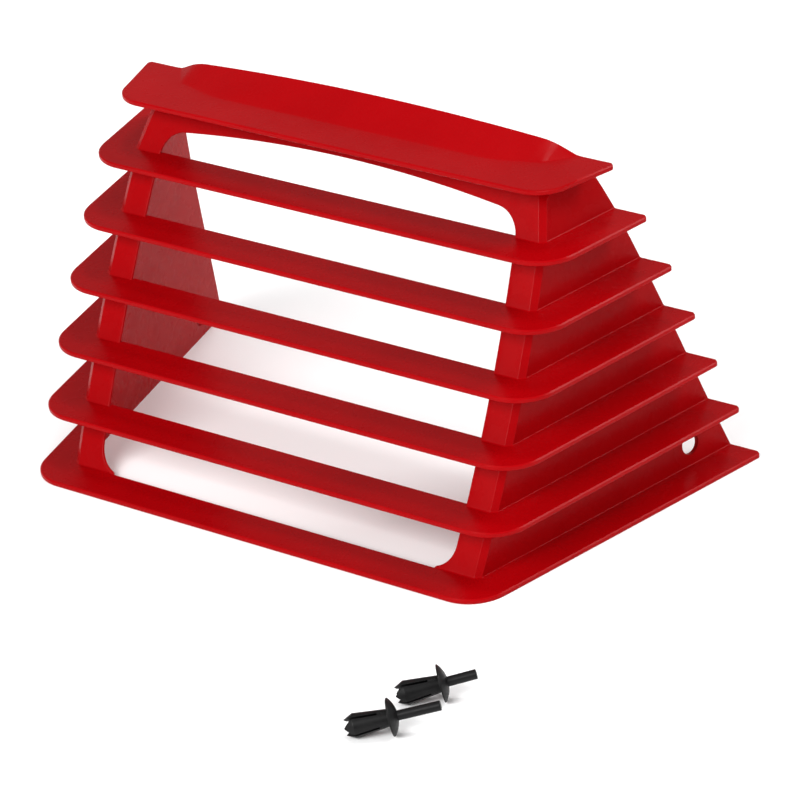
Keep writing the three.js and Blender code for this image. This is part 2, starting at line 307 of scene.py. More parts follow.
def arc_points(start, heading_from, heading_to, radius, count):
    """Points of an arc that leaves start at heading_from and turns left to heading_to, both in radians."""
    heading = heading_from + (heading_to - heading_from) * np.linspace(0, 1, count)
    x = start[0] + radius * (np.sin(heading) - np.sin(heading_from))
    y = start[1] - radius * (np.cos(heading) - np.cos(heading_from))
    return np.stack([x, y], -1)


def cut_corner(front, side_at_zero, slope, cut_front, cut_side, radius):
    """The wall's corner, one row per level: a flat strip that leaves the front cut_front before the corner
    and joins the side cut_side behind it, with a small rounding at each end."""
    root = np.sqrt(1 + slope ** 2)
    corner = np.stack([side_at_zero + slope * front, front], -1)
    first = corner - np.stack([cut_front, np.zeros_like(front)], -1)
    second = corner + np.stack([slope, np.ones_like(slope)], -1) * column(cut_side / root)
    along = (second - first) / np.linalg.norm(second - first, axis=1, keepdims=True)
    heading = np.arctan2(along[:, 1], along[:, 0])
    end = math.pi / 2 - np.arctan(slope)
    rows = []
    for row in range(len(front)):
        near = first[row] - [radius * math.tan(heading[row] / 2), 0]
        far = second[row] - along[row] * radius * math.tan((end[row] - heading[row]) / 2)
        at_front = arc_points(near, 0.0, heading[row], radius, CUT_ARC_POINTS[0])
        at_side = arc_points(far, heading[row], end[row], radius, CUT_ARC_POINTS[1])
        between = at_front[-1] + (at_side[0] - at_front[-1]) * BETWEEN_ARCS
        rows.append(np.concatenate([at_front, between, at_side]))
    return np.array(rows)


def hood_outline(fronts, inset, rear):
    """Right half of the hood's foot on the top fin: straight, a wide turn, a straight shoulder, a tight bend,
    and a straight run to the rear."""
    first, second = np.radians(HOOD_HEADINGS)
    turn_points, bend_points = HOOD_ARC_POINTS
    turn = arc_points((HOOD_STRAIGHT, HOOD_FRONT), 0.0, first, HOOD_TURN_RADIUS, turn_points)
    bend_at = turn[-1] + HOOD_SHOULDER_LENGTH * np.array([math.cos(first), math.sin(first)])
    bend = arc_points(bend_at, first, second, HOOD_BEND_RADIUS, bend_points)
    shoulder = turn[-1] + (bend[0] - turn[-1]) * BETWEEN_ARCS
    reach = (rear - bend[-1, 1]) / math.sin(second)
    side = bend[-1] + column(reach * ALL_SIDES) * np.array([math.cos(second), math.sin(second)])
    front = np.stack([HOOD_STRAIGHT * fronts, np.full(len(fronts), HOOD_FRONT)], -1)
    line = np.concatenate([front, turn, shoulder, bend, side])
    heading = np.concatenate([
        np.zeros(len(fronts)), first * np.linspace(0, 1, turn_points), np.full(len(shoulder), first),
        first + (second - first) * np.linspace(0, 1, bend_points), np.full(len(side), second)])
    return line + inset * np.stack([-np.sin(heading), np.cos(heading)], -1)


def wall_outline(z, fronts, inset=0.0, overshoot=OVERSHOOT):
    """The wall's outline at each level of z, inset inwards from the outer face. Inside the top fin's
    thickness it changes over to the hood's outline."""
    z = np.atleast_1d(np.asarray(z, float))
    slope = flare(z)
    front, side_at_zero, rear = wall_front(z) + inset, wall_side(0.0, z) - inset, rear_edge(z) + overshoot
    under_top = np.clip(1 - (fin_top(1) - FIN_THICKNESS - z) / EAVES_CUT_HEIGHT, 0, 1) ** 2
    cut = max(CORNER_CUT - CORNER_CUT_LOSS * inset, LEAST_CORNER_CUT)
    cut_front = cut + EAVES_FRONT_SHARE * EAVES_CUT * under_top
    cut_side = cut + EAVES_CUT * under_top
    corner = cut_corner(front, side_at_zero, slope, cut_front, cut_side, CORNER_EDGE_RADIUS)
    front_x = column(corner[:, 0, 0]) * fronts
    side_y = corner[:, -1:, 1] + (column(rear) - corner[:, -1:, 1]) * ALL_SIDES
    run = np.stack([front_x, np.broadcast_to(column(front), front_x.shape)], -1)
    side = np.stack([column(side_at_zero) + column(slope) * side_y, side_y], -1)
    half = np.concatenate([run, corner, side], 1)
    change = np.clip((z - fin_top(1)) / FIN_THICKNESS + 1, 0, 1)[:, None, None]
    if change.max() > 0:
        half = half + (hood_outline(fronts, inset, rear_edge(fin_top(1)) + overshoot) - half) * change
    return both_halves(half)


def fin_outline(index, fronts):
    """The fin's outer edge: straight front, round corner, flaring side, then an arc of FIN_TIP_RADIUS round
    the rear tip. Its end runs past the rear plane, where rear_block cuts it. It has as many points as the
    wall's outline."""
    z = fin_top(index)
    front, half, slope, radius = front_edge(z), half_width(z), flare(z), FIN_CORNER_RADIUS
    if index == 1:
        radius = TOP_FIN["corner_radius"]
    if index == FIN_COUNT:
        front, half, slope = 0.0, BASE_FIN["half_width"], BASE_FIN["flare"]
    side_at_zero = half - slope * front
    rear = rear_edge(z)
    # Tip circle touching the side line and the rear line
    root = math.sqrt(1 + slope ** 2)
    tip_y = rear - FIN_TIP_RADIUS
    tip_x = side_at_zero + slope * tip_y - FIN_TIP_RADIUS * root
    start = -math.atan(slope)
    angle = start + (math.pi / 2 - start) * np.linspace(0, 1, TIP_STEPS + 1)
    tip = np.stack([tip_x + FIN_TIP_RADIUS * np.cos(angle), tip_y + FIN_TIP_RADIUS * np.sin(angle)], -1)
    one = np.ones(1)
    half_line = half_outline(front * one, side_at_zero * one, slope * one, radius * one, tip[0, 1] * one,
                             fronts, STRAIGHT_SIDES / STRAIGHT_SIDES[-1])[0]
    tip[:, 0] -= TIP_PULL * np.linspace(0, 1, TIP_STEPS + 1) ** 0.5
    last = np.array([[tip[-1, 0] - 4, rear + OVERSHOOT]])
    return both_halves(np.concatenate([half_line, tip[1:], tip[-1:] + [[-0.6, 0.3]], last]))


# ---------------------------------------------------------------- meshes and solids

def new_object(name, vertices, faces, scale=MM):
    """A mesh object at the origin from vertices in millimetres."""
    mesh = bpy.data.meshes.new(name)
    mesh.from_pydata((np.asarray(vertices) * scale).tolist(), [], faces)
    mesh.update()
    made = bpy.data.objects.new(name, mesh)
    bpy.context.scene.collection.objects.link(made)
    return made


def face_outwards(obj):
    """Turns the whole mesh inside out if its signed volume is negative."""
    bm = bmesh.new()
    bm.from_mesh(obj.data)
    if bm.calc_volume(signed=True) < 0:
        bmesh.ops.reverse_faces(bm, faces=bm.faces[:])
        bm.to_mesh(obj.data)
    bm.free()
    return obj


def grid_faces(rows, columns, wrap_rows=False, wrap_columns=False):
    """Quads between neighbouring points of a grid, numbered row by row."""
    row = np.arange(rows if wrap_rows else rows - 1)[:, None]
    col = np.arange(columns if wrap_columns else columns - 1)[None, :]
    up, on = (row + 1) % rows, (col + 1) % columns
    quads = np.stack([row * columns + col, row * columns + on, up * columns + on, up * columns + col], -1)
    return quads.reshape(-1, 4).tolist()


def tube(name, grid):
    """A closed solid from rings of points: grid[i] is one closed ring, and the two end rings are capped."""
    rings, around = grid.shape[:2]
    faces = grid_faces(rings, around, wrap_columns=True)
    faces.append(list(range(around))[::-1])
    faces.append(list(range((rings - 1) * around, rings * around)))
    return face_outwards(new_object(name, grid.reshape(-1, 3), faces))


def lathe(name, profile, steps, matrix):
    """The closed (radius, height) profile turned about +Z. Points on the axis are not allowed."""
    profile = np.asarray(profile, float)
    angle = np.linspace(0, 2 * math.pi, steps, endpoint=False)[:, None]
    grid = np.stack([profile[:, 0] * np.cos(angle), profile[:, 0] * np.sin(angle),
                     np.broadcast_to(profile[:, 1], (steps, len(profile)))], -1)
    made = new_object(name, place(grid.reshape(-1, 3), matrix),
                      grid_faces(steps, len(profile), wrap_rows=True, wrap_columns=True))
    return face_outwards(made)


def place(points, matrix):
    """points turned and moved by a 4x4 matrix in millimetres."""
    m = np.array(matrix, float)
    return np.asarray(points) @ m[:3, :3].T + m[:3, 3]


def combine(body, *steps):
    """Applies (operation, cutter) pairs to body in order and removes the cutters."""
    for number, (operation, cutter) in enumerate(steps):
        modifier = body.modifiers.new(f"step_{number}", "BOOLEAN")
        modifier.operation = operation
        modifier.solver = "MANIFOLD"
        modifier.object = cutter
    graph = bpy.context.evaluated_depsgraph_get()
    made = bpy.data.meshes.new_from_object(body.evaluated_get(graph), depsgraph=graph)
    body.modifiers.clear()
    old, body.data = body.data, made
    made.name = body.name
    bpy.data.meshes.remove(old)
    for _, cutter in steps:
        mesh = cutter.data
        bpy.data.objects.remove(cutter)
        bpy.data.meshes.remove(mesh)
    return body


def clean(obj, angle, join=0.0004):
    """Joins points closer than join millimetres, drops faces of no area and shades smooth below the angle,
    which is in degrees."""
    bm = bmesh.new()
    bm.from_mesh(obj.data)
    bmesh.ops.remove_doubles(bm, verts=bm.verts[:], dist=join * MM)
    bmesh.ops.dissolve_degenerate(bm, edges=bm.edges[:], dist=join * MM)
    bm.to_mesh(obj.data)
    bm.free()
    obj.data.polygons.foreach_set("use_smooth", np.ones(len(obj.data.polygons), bool))
    obj.data.set_sharp_from_angle(angle=math.radians(angle))


def weigh_normals(obj):
    """Lets each large face keep its own direction where it meets a rounding."""
    modifier = obj.modifiers.new("weighted_normals", "WEIGHTED_NORMAL")
    modifier.mode = "FACE_AREA"
    modifier.keep_sharp = True


# ---------------------------------------------------------------- the vent's solids

SHELL_FRONTS = np.linspace(0, 1, 25)[:-1]
ROW_STEP, FINE_ROW_STEP, FINE_ROWS_FROM = 2.5, 0.5, 112.5
ROOF_ROWS = 11


def in_row_frame(points):
    return points - np.array([0.0, ORIGIN_DEPTH, 0.0])


def form_solid(name, inset, overshoot, low):
    """The solid inside the wall's face. Level outlines are stacked up the wall, with closer rows where the
    corners open out under the hood. Straight lines then run from the top outline to the arched rear edge."""
    under_top_fin = fin_top(1) - FIN_THICKNESS
    z = np.concatenate([[low], np.arange(ROW_STEP, FINE_ROWS_FROM, ROW_STEP),
                        np.arange(FINE_ROWS_FROM, under_top_fin, FINE_ROW_STEP), [under_top_fin, fin_top(1)]])
    flat = wall_outline(z, SHELL_FRONTS, inset, overshoot)
    wall = np.concatenate([flat, np.broadcast_to(z[:, None, None], flat.shape[:2] + (1,))], -1)
    eaves = wall[-1]
    x = eaves[:, 0]
    rise = np.maximum(arch_rise(x, x[-1] - overshoot) - inset * 1.1, 0.1)
    rear = rear_edge(fin_top(1) + rise)
    rise = rise * (1 + 0.8 * overshoot / np.maximum(rear - eaves[:, 1], 8))
    arch = np.stack([x, rear_edge(fin_top(1) + rise) + overshoot, fin_top(1) + rise], -1)
    t = np.linspace(0, 1, ROOF_ROWS)[1:, None, None]
    grid = np.concatenate([wall, eaves + (arch - eaves) * t])
    rows, columns = grid.shape[:2]
    faces = grid_faces(rows, columns)
    faces.append(list(range(columns))[::-1])
    left = [row * columns for row in range(rows)]
    top = [(rows - 1) * columns + c for c in range(1, columns - 1)]
    right = [row * columns + columns - 1 for row in range(rows - 1, -1, -1)]
    faces.append(left + top + right)
    return face_outwards(new_object(name, in_row_frame(grid.reshape(-1, 3)), faces))


def opening_outline():
    """The opening seen from the front: bowed sides, an arched top, four corners of OPENING_RADIUS."""
    side_top = OPENING_TOP - OPENING_TOP_DROOP * 1.1 - OPENING_RADIUS
    side_z = np.linspace(FIN_THICKNESS + OPENING_RADIUS, side_top, 24)
    centre_x = opening_side(side_z[-1]) - OPENING_RADIUS
    top_x = np.linspace(centre_x, 0, 16)
    top_z = OPENING_TOP - OPENING_TOP_DROOP * (top_x / OPENING_DROOP_REACH) ** 2
    slope = -2 * OPENING_TOP_DROOP * centre_x / OPENING_DROOP_REACH ** 2
    foot_x = opening_side(side_z[0]) - OPENING_RADIUS
    quarter = np.linspace(0, math.pi / 2, 13)[1:-1]
    low = np.stack([foot_x + OPENING_RADIUS * np.sin(quarter),
                    side_z[0] - OPENING_RADIUS * np.cos(quarter)], -1)
    # The upper corner eases from the side into the arch's own slope
    u = np.linspace(0, 1, 13)[1:-1, None]
    side_end = np.array([opening_side(side_z[-1]), side_z[-1]])
    arch_end = np.array([top_x[0], top_z[0]])
    circle_handle = 0.5523
    reach = circle_handle * OPENING_RADIUS
    handle_a = side_end + [0, reach]
    handle_b = arch_end + reach * np.array([1.0, slope]) / math.hypot(1, slope)
    high = ((1 - u) ** 3 * side_end + 3 * (1 - u) ** 2 * u * handle_a
            + 3 * (1 - u) * u ** 2 * handle_b + u ** 3 * arch_end)
    half = np.concatenate([[[foot_x, FIN_THICKNESS]], low,
                           np.stack([opening_side(side_z), side_z], -1), high,
                           np.stack([top_x, top_z], -1)])
    return np.concatenate([half, half[-2::-1] * [-1, 1]])


def opening_cutter(rounding):
    """The opening's outline carried back through the wall. It is wider at the front by the rounding and
    widens again behind it, so that only a thin lip is left round the opening."""
    line = opening_outline()
    along = np.roll(line, -1, 0) - np.roll(line, 1, 0)
    out = np.stack([along[:, 1], -along[:, 0]], -1) / np.linalg.norm(along, axis=1, keepdims=True)
    depth = np.array([-2.0, -0.02, 0.12, 0.35, 0.65, 3.0])
    grow = np.array([2.6, 1.0, 0.45, 0.12, 0.0, 1.75]) * rounding / np.array([1, 1, 1, 1, 1, rounding])
    ring = line[None] + out[None] * grow[:, None, None]
    y = wall_front(ring[..., 1]) + depth[:, None]
    grid = np.stack([ring[..., 0], y, ring[..., 1]], -1)
    return tube("opening_cutter", in_row_frame(grid))


def box(name, low, high, widen=0.0):
    """A box, wider by widen on both sides at its back."""
    corners = np.array([[x, y, z] for x in (low[0], high[0]) for y in (low[1], high[1])
                        for z in (low[2], high[2])], float)
    corners[:, 0] += np.sign(corners[:, 0]) * np.where(corners[:, 1] > low[1], widen, 0)
    faces = [[0, 1, 3, 2], [4, 6, 7, 5], [0, 4, 5, 1], [2, 3, 7, 6], [0, 2, 6, 4], [1, 5, 7, 3]]
    return face_outwards(new_object(name, corners, faces))


def hole_cutter(name, side, wall):
    """A drill square to the side wall, wider by 0.25 mm at the outer face."""
    y, z, radius = RIVET_HOLE["y"], RIVET_HOLE["z"], RIVET_HOLE["radius"]
    normal = np.array([2.0, wall_side(y - 1, z) - wall_side(y + 1, z),
                       wall_side(y, z - 1) - wall_side(y, z + 1)])
    normal /= np.linalg.norm(normal)
    across = np.cross(normal, [0.0, 0.0, 1.0])
    across /= np.linalg.norm(across)
    up = np.cross(across, normal)
    face = np.array([wall_side(y, z), y, z])
    depth = np.array([4.0, 0.05, -0.12, -0.3, -wall - 3])
    radii = radius + np.array([2.2, 0.28, 0.08, 0, 0])
    angle = np.linspace(0, 2 * math.pi, 48, endpoint=False)[None, :, None]
    ring = across * np.cos(angle) + up * np.sin(angle)
    grid = face + normal * depth[:, None, None] + ring * radii[:, None, None]
    return tube(name, in_row_frame(grid * np.array([side, 1.0, 1.0])))


def fillet(centre_e, centre_z, radius, first, last, steps):
    """Points of an arc, from angle first to last in degrees, in the section's (outward, up) plane."""
    angle = np.radians(np.linspace(first, last, steps))
    return np.stack([centre_e + radius * np.cos(angle), centre_z + radius * np.sin(angle)], -1)


def fin_sections(index, edge, root):
    """Two closed sections in (outward from the wall's face, up): one that grows out of the wall with fillets
    of radius root, and one for the free slat, with its own rounded rear edge. The rim's lower edge is rounded
    and its upper edge is a flat chamfer. The bottom fin has no fillet below. The top fin has none above, and
    a shallow rise meets the hood there."""
    top, low = fin_top(index), fin_top(index) - FIN_THICKNESS
    rim = np.concatenate([fillet(FIN_OVERHANG - edge, low + edge, edge, -90, 0, 4),
                          [[FIN_OVERHANG, top - edge], [FIN_OVERHANG - edge, top]]])
    if index == FIN_COUNT:
        below = np.stack([np.linspace(-0.75, 1, 6), np.full(6, low)], -1)
        inside = np.array([[-WALL_OVERLAP, top + 0.5], [-WALL_OVERLAP, low + 0.3]])
    else:
        below = fillet(root - ROOT_OVERLAP, low - root, root, 180, 90, 6)
        inside = np.array([[-WALL_OVERLAP, top + root * 0.6], [-WALL_OVERLAP, low - root * 0.6]])
    above = fillet(root - ROOT_OVERLAP, top + root, root, 270, 180, 6)
    if index == 1:
        reach = np.linspace(1.6, -0.7, 6)
        above = np.stack([reach, top + 0.16 * ((1.6 - reach) / 2.3) ** 2], -1)
        inside[0] = [-WALL_OVERLAP, top - 0.2]
    flange = np.concatenate([below, rim, above, inside])
    depth = 0.1 if index == FIN_COUNT else SLAT_DEPTH - FIN_OVERHANG
    back = SLAT_BACK_RADIUS
    slat = np.concatenate([fillet(back - depth, low + back, back, 180, 270, 6), rim,
                           fillet(back - depth, top - back, back, 90, 180, 6),
                           [[-depth, top - back - 0.27], [-depth, low + back + 0.27]]])
    return flange, slat


def fin_solid(index, edge, root):
    """The fin's section carried round the wall's outline. A section point lies on the straight line from the
    wall's outline at its own height towards the fin's outer edge, in proportion to its distance outwards."""
    z = fin_top(index)
    plain = wall_outline(z, np.ones(1))[0]
    reach = plain[len(plain) // 2, 0]
    if index == 1:
        fronts = SHELL_FRONTS
        change, width = -10.0, 1.0
    else:
        change, width = (opening_side(z) + 0.1, 1.3) if index < FIN_COUNT else (68.6, 3.0)
        x = np.concatenate([np.linspace(0, change, 15)[:-1], change + width * np.linspace(0, 1, 7),
                            np.linspace(change + width, reach, 6)[1:-1]])
        fronts = x / reach
    flange, slat = fin_sections(index, edge, root)
    outer = fin_outline(index, fronts)[:, None]
    inner = wall_outline(z, fronts)[0]
    share = smooth((np.abs(inner[:, 0]) - change) / width)[:, None, None]
    section = slat + (flange - slat) * share
    points = section.shape[1]
    steps = inner.shape[0]
    wall_at = wall_outline(section[..., 1].reshape(-1), fronts).reshape(steps, points, steps, 2)
    own = np.arange(steps)
    base = wall_at[own, :, own]
    xy = base + (outer - base) * (section[..., :1] / FIN_OVERHANG)
    grid = np.concatenate([xy, section[..., 1:]], -1)
    return tube(f"fin_{index}_blank", in_row_frame(grid))


def rear_block():
    """Everything behind the sloping rear plane."""
    half, depth = 300, 200
    points = []
    for z in (-60.0, 260.0):
        y = rear_edge(z)
        points += [[-half, y, z], [half, y, z], [half, y + depth, z], [-half, y + depth, z]]
    faces = [[3, 2, 1, 0], [4, 5, 6, 7], [0, 1, 5, 4], [1, 2, 6, 5], [2, 3, 7, 6], [3, 0, 4, 7]]
    return face_outwards(new_object("rear_block", in_row_frame(np.array(points, float)), faces))


# ---------------------------------------------------------------- materials

def node_material(name):
    material = bpy.data.materials.new(name)
    material.use_nodes = True
    nodes, links = material.node_tree.nodes, material.node_tree.links
    nodes.clear()
    out = nodes.new("ShaderNodeOutputMaterial")
    shader = nodes.new("ShaderNodeBsdfPrincipled")
    links.new(shader.outputs["BSDF"], out.inputs["Surface"])
    coords = nodes.new("ShaderNodeTexCoord").outputs["Object"]
    return material, nodes, links, shader, coords


def noise(nodes, links, coords, scale, detail=2.0, roughness=0.5):
    node = nodes.new("ShaderNodeTexNoise")
    node.inputs["Scale"].default_value = scale
    node.inputs["Detail"].default_value = detail
    node.inputs["Roughness"].default_value = roughness
    links.new(coords, node.inputs["Vector"])
    return node.outputs["Fac"]


def spread(nodes, links, value, low, high, start=0.3, end=0.7):
    """value mapped from start..end to low..high."""
    node = nodes.new("ShaderNodeMapRange")
    for name, number in (("From Min", start), ("From Max", end), ("To Min", low), ("To Max", high)):
        node.inputs[name].default_value = number
    links.new(value, node.inputs["Value"])
    return node.outputs["Result"]


def mixed(nodes, links, factor, first, second):
    """first where factor is 0 and second where it is 1. A tuple is a fixed colour, the rest are sockets."""
    node = nodes.new("ShaderNodeMix")
    node.data_type = "RGBA"
    colour_in = [s for s in node.inputs if s.type == "RGBA"]
    factor_in = [s for s in node.inputs if s.name == "Factor" and s.type == "VALUE"][0]
    for socket, value in ((factor_in, factor), (colour_in[0], first), (colour_in[1], second)):
        if isinstance(value, tuple):
            socket.default_value = value
        else:
            links.new(value, socket)
    return [s for s in node.outputs if s.type == "RGBA"][0]


def bump(nodes, links, height, strength, distance, normal=None):
    node = nodes.new("ShaderNodeBump")
    node.inputs["Strength"].default_value = strength
    node.inputs["Distance"].default_value = distance
    links.new(height, node.inputs["Height"])
    if normal is not None:
        links.new(normal, node.inputs["Normal"])
    return node.outputs["Normal"]


def tone(colour, factor):
    return tuple(min(1.0, c * factor) for c in colour) + (1.0,)


def satin_red(settings):
    """Through-coloured moulded plastic: a fine satin grain, faint flow marks and a few specks of dust."""
    material, nodes, links, shader, coords = node_material("satin_red_plastic")
    colour = tuple(settings.colour)
    flow = noise(nodes, links, coords, 38.0, 3.0, 0.55)
    grain = noise(nodes, links, coords, 2600.0, 2.0)
    cloudy = spread(nodes, links, flow, 0.0, 1.0)
    body = mixed(nodes, links, cloudy, tone(colour, 0.95), tone(colour, 1.05))
    # Dust: one point in a few cells of a coarse cell pattern
    cells = nodes.new("ShaderNodeTexVoronoi")
    cells.inputs["Scale"].default_value = 70.0
    links.new(coords, cells.inputs["Vector"])
    near = spread(nodes, links, cells.outputs["Distance"], 1.0, 0.0, 0.014, 0.022)
    chosen = nodes.new("ShaderNodeSeparateColor")
    links.new(cells.outputs["Color"], chosen.inputs["Color"])
    some = spread(nodes, links, chosen.outputs["Red"], 0.0, 1.0, 0.72, 0.74)
    dust = nodes.new("ShaderNodeMath")
    dust.operation = "MULTIPLY"
    links.new(near, dust.inputs[0])
    links.new(some, dust.inputs[1])
    speck = nodes.new("ShaderNodeMath")
    speck.operation = "MULTIPLY"
    speck.inputs[1].default_value = 0.35
    links.new(dust.outputs[0], speck.inputs[0])
    links.new(mixed(nodes, links, speck.outputs[0], body, (0.75, 0.5, 0.5, 1.0)), shader.inputs["Base Color"])
    sheen = noise(nodes, links, coords, 160.0, 3.0)
    links.new(spread(nodes, links, sheen, settings.roughness - 0.04, settings.roughness + 0.05),
              shader.inputs["Roughness"])
    fine = bump(nodes, links, grain, 0.10, 0.00004)
    soft = noise(nodes, links, coords, 55.0, 1.0)
    links.new(bump(nodes, links, soft, 0.05, 0.0002, fine), shader.inputs["Normal"])
    shader.inputs["Specular IOR Level"].default_value = 0.05
    return material


def black_nylon(settings):
    """Smooth moulded nylon with a soft, slightly uneven sheen and a fine grain."""
    material, nodes, links, shader, coords = node_material("black_nylon")
    colour = tuple(settings.colour)
    cloudy = spread(nodes, links, noise(nodes, links, coords, 400.0, 3.0), 0.0, 1.0)
    links.new(mixed(nodes, links, cloudy, tone(colour, 0.8), tone(colour, 1.35)), shader.inputs["Base Color"])
    sheen = noise(nodes, links, coords, 900.0, 2.0)
    links.new(spread(nodes, links, sheen, settings.roughness - 0.06, settings.roughness + 0.08),
              shader.inputs["Roughness"])
    grain = noise(nodes, links, coords, 4200.0, 2.0)
    links.new(bump(nodes, links, grain, 0.15, 0.00003), shader.inputs["Normal"])
    shader.inputs["Specular IOR Level"].default_value = 0.18
    return material


def plain_floor(settings):
    material, _, _, shader, _ = node_material("pale_floor")
    shader.inputs["Base Color"].default_value = tuple(settings.floor_colour) + (1.0,)
    shader.inputs["Roughness"].default_value = 0.9
    shader.inputs["Specular IOR Level"].default_value = 0.0
    return material


# ---------------------------------------------------------------- operators

class BuildVent(bpy.types.Operator):
    """Builds the vent: one moulding of shell, hood and seven fins"""
    bl_idname = "cowl_vent.build_vent"
    bl_label = "Build vent"

    def execute(self, context):
        settings = context.scene.vent_settings
        wall = settings.wall / MM
        vent = form_solid("vent_moulding", 0.0, OVERSHOOT, 0.02)
        foot = opening_side(FIN_THICKNESS + OPENING_RADIUS) - OPENING_RADIUS
        sill = wall_front(0.0) - ORIGIN_DEPTH
        steps = [("DIFFERENCE", form_solid("inside", wall, 3.0, -1.0)),
                 ("DIFFERENCE", opening_cutter(settings.opening_round / MM)),
                 ("DIFFERENCE", box("sill_cutter", (-foot, sill - 2, -3), (foot, sill + 6, 2.6), 5.0)),
                 ("DIFFERENCE", hole_cutter("hole_right", 1.0, wall)),
                 ("DIFFERENCE", hole_cutter("hole_left", -1.0, wall))]
        for index in range(1, FIN_COUNT + 1):
            steps.append(("UNION", fin_solid(index, settings.edge_radius / MM, settings.root_radius / MM)))
        steps.append(("DIFFERENCE", rear_block()))
        combine(vent, *steps)
        clean(vent, 38)
        weigh_normals(vent)
        vent.data.materials.clear()
        vent.data.materials.append(satin_red(settings))
        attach(vent, "vent")
        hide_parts("vent_shell", *[f"fin_{index}" for index in range(1, FIN_COUNT + 1)])
        return {"FINISHED"}


def rivet_matrix(rivet, roll=0.0):
    """From the rivet's own axes to the row frame: rolled about its axis, tipped to lie on head and shoulders,
    and headed about +Z."""
    turn = (Matrix.Rotation(math.radians(rivet["heading"]), 4, "Z")
            @ Matrix.Rotation(math.pi / 2 - REST_TILT, 4, "Y")
            @ Matrix.Rotation(math.radians(roll), 4, "Z"))
    at = Matrix.Translation((rivet["x"], rivet["y"] - ORIGIN_DEPTH, HEAD_RADIUS * math.cos(REST_TILT)))
    return at @ turn


def head_height(radius):
    """Height of the head's cap: part of a sphere through the rim, flat-topped only at its middle."""
    rise = HEAD_HEIGHT - HEAD_RIM
    ball = (HEAD_RADIUS ** 2 + rise ** 2) / (2 * rise)
    return HEAD_HEIGHT - ball + np.sqrt(ball ** 2 - radius ** 2)


def rivet_body(name, matrix):
    """A turned profile, cut lengthwise by two crossing slots and notched at its tip into four legs."""
    cap = np.linspace(HEAD_RADIUS - BORE_MOUTH, BORE_RADIUS + BORE_MOUTH, 14)
    neck = fillet(SHANK_RADIUS + NECK_RADIUS, -NECK_RADIUS, NECK_RADIUS, 180, 90, 5)
    profile = np.concatenate([
        [[BORE_RADIUS, -TIP_DEPTH], [TIP_RADIUS, -TIP_DEPTH], [SHOULDER_RADIUS - 0.05, -SHOULDER_DEPTH - 0.1],
         [SHOULDER_RADIUS - 0.02, -SHOULDER_DEPTH + 0.15]],
        neck,
        [[HEAD_RADIUS - HEAD_EDGE, 0.0], [HEAD_RADIUS, HEAD_EDGE], [HEAD_RADIUS, HEAD_RIM - HEAD_EDGE]],
        np.stack([cap, head_height(cap)], -1),
        [[BORE_RADIUS, HEAD_HEIGHT - 0.32]]])
    body = lathe(name, profile, 96, matrix)
    steps = []
    for angle in (45, 135):
        turn = matrix @ Matrix.Rotation(math.radians(angle), 4, "Z")
        length = 2 * SHOULDER_RADIUS
        slot = box("slot", (-length, -LEG_SLOT / 2, -TIP_DEPTH - 1), (length, LEG_SLOT / 2, -LEG_SLOT_DEPTH))
        notch_foot = -TIP_DEPTH - 0.61
        notch_points = np.array([[x, y, z] for x in (-length, length) for y, z in (
            (0, -SHOULDER_DEPTH), (-LEG_NOTCH * 0.6, notch_foot), (LEG_NOTCH * 0.6, notch_foot))])
        notch_faces = [[0, 1, 2], [3, 5, 4], [0, 3, 4, 1], [1, 4, 5, 2], [2, 5, 3, 0]]
        notch = new_object("notch", notch_points, notch_faces)
        face_outwards(notch)
        for cutter in (slot, notch):
            cutter.data.transform(Matrix.Scale(MM, 4) @ turn @ Matrix.Scale(1 / MM, 4))
            steps.append(("DIFFERENCE", cutter))
    return combine(body, *steps)


def rivet_pin(name, matrix, end):
    """A plain round pin with small rounded ends and a shallow mark where it was moulded."""
    start = end - PIN_LENGTH
    end -= PIN_END_SINK
    edge = PIN_EDGE_RADIUS
    foot = fillet(PIN_RADIUS - edge, start + edge, edge, -90, 0, 5)
    crown = fillet(PIN_RADIUS - edge, end - edge, edge, 0, 90, 5)
    mark = [[PIN_MARK["radius"], end], [PIN_MARK["foot_radius"], end - 0.8 * PIN_MARK["depth"]],
            [AXIS_HOLE, end - PIN_MARK["depth"]]]
    profile = np.concatenate([[[AXIS_HOLE, start]], foot, crown, mark])
    return lathe(name, profile, 64, matrix)


class BuildRivets(bpy.types.Operator):
    """Builds the two drive rivets, each a slotted body and its pin"""
    bl_idname = "cowl_vent.build_rivets"
    bl_label = "Build rivets"

    def execute(self, context):
        settings = context.scene.rivet_settings
        nylon = black_nylon(settings)
        for rivet in RIVETS:
            name = rivet["name"]
            body = rivet_body(f"{name}_legs_and_head", rivet_matrix(rivet, rivet["roll"]))
            pin = rivet_pin(f"{name}_drive_pin", rivet_matrix(rivet), rivet["pin_end"])
            for piece, ridden, node in ((body, name, f"{name}_body"), (pin, f"{name}_pin", f"{name}_pin")):
                clean(piece, 32)
                if piece is body:
                    bevel = piece.modifiers.new("edges", "BEVEL")
                    bevel.width = settings.edge_radius
                    bevel.segments = 2
                    bevel.limit_method = "ANGLE"
                    bevel.angle_limit = math.radians(40)
                weigh_normals(piece)
                piece.data.materials.clear()
                piece.data.materials.append(nylon)
                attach(piece, ridden)
                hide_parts(node)
        return {"FINISHED"}


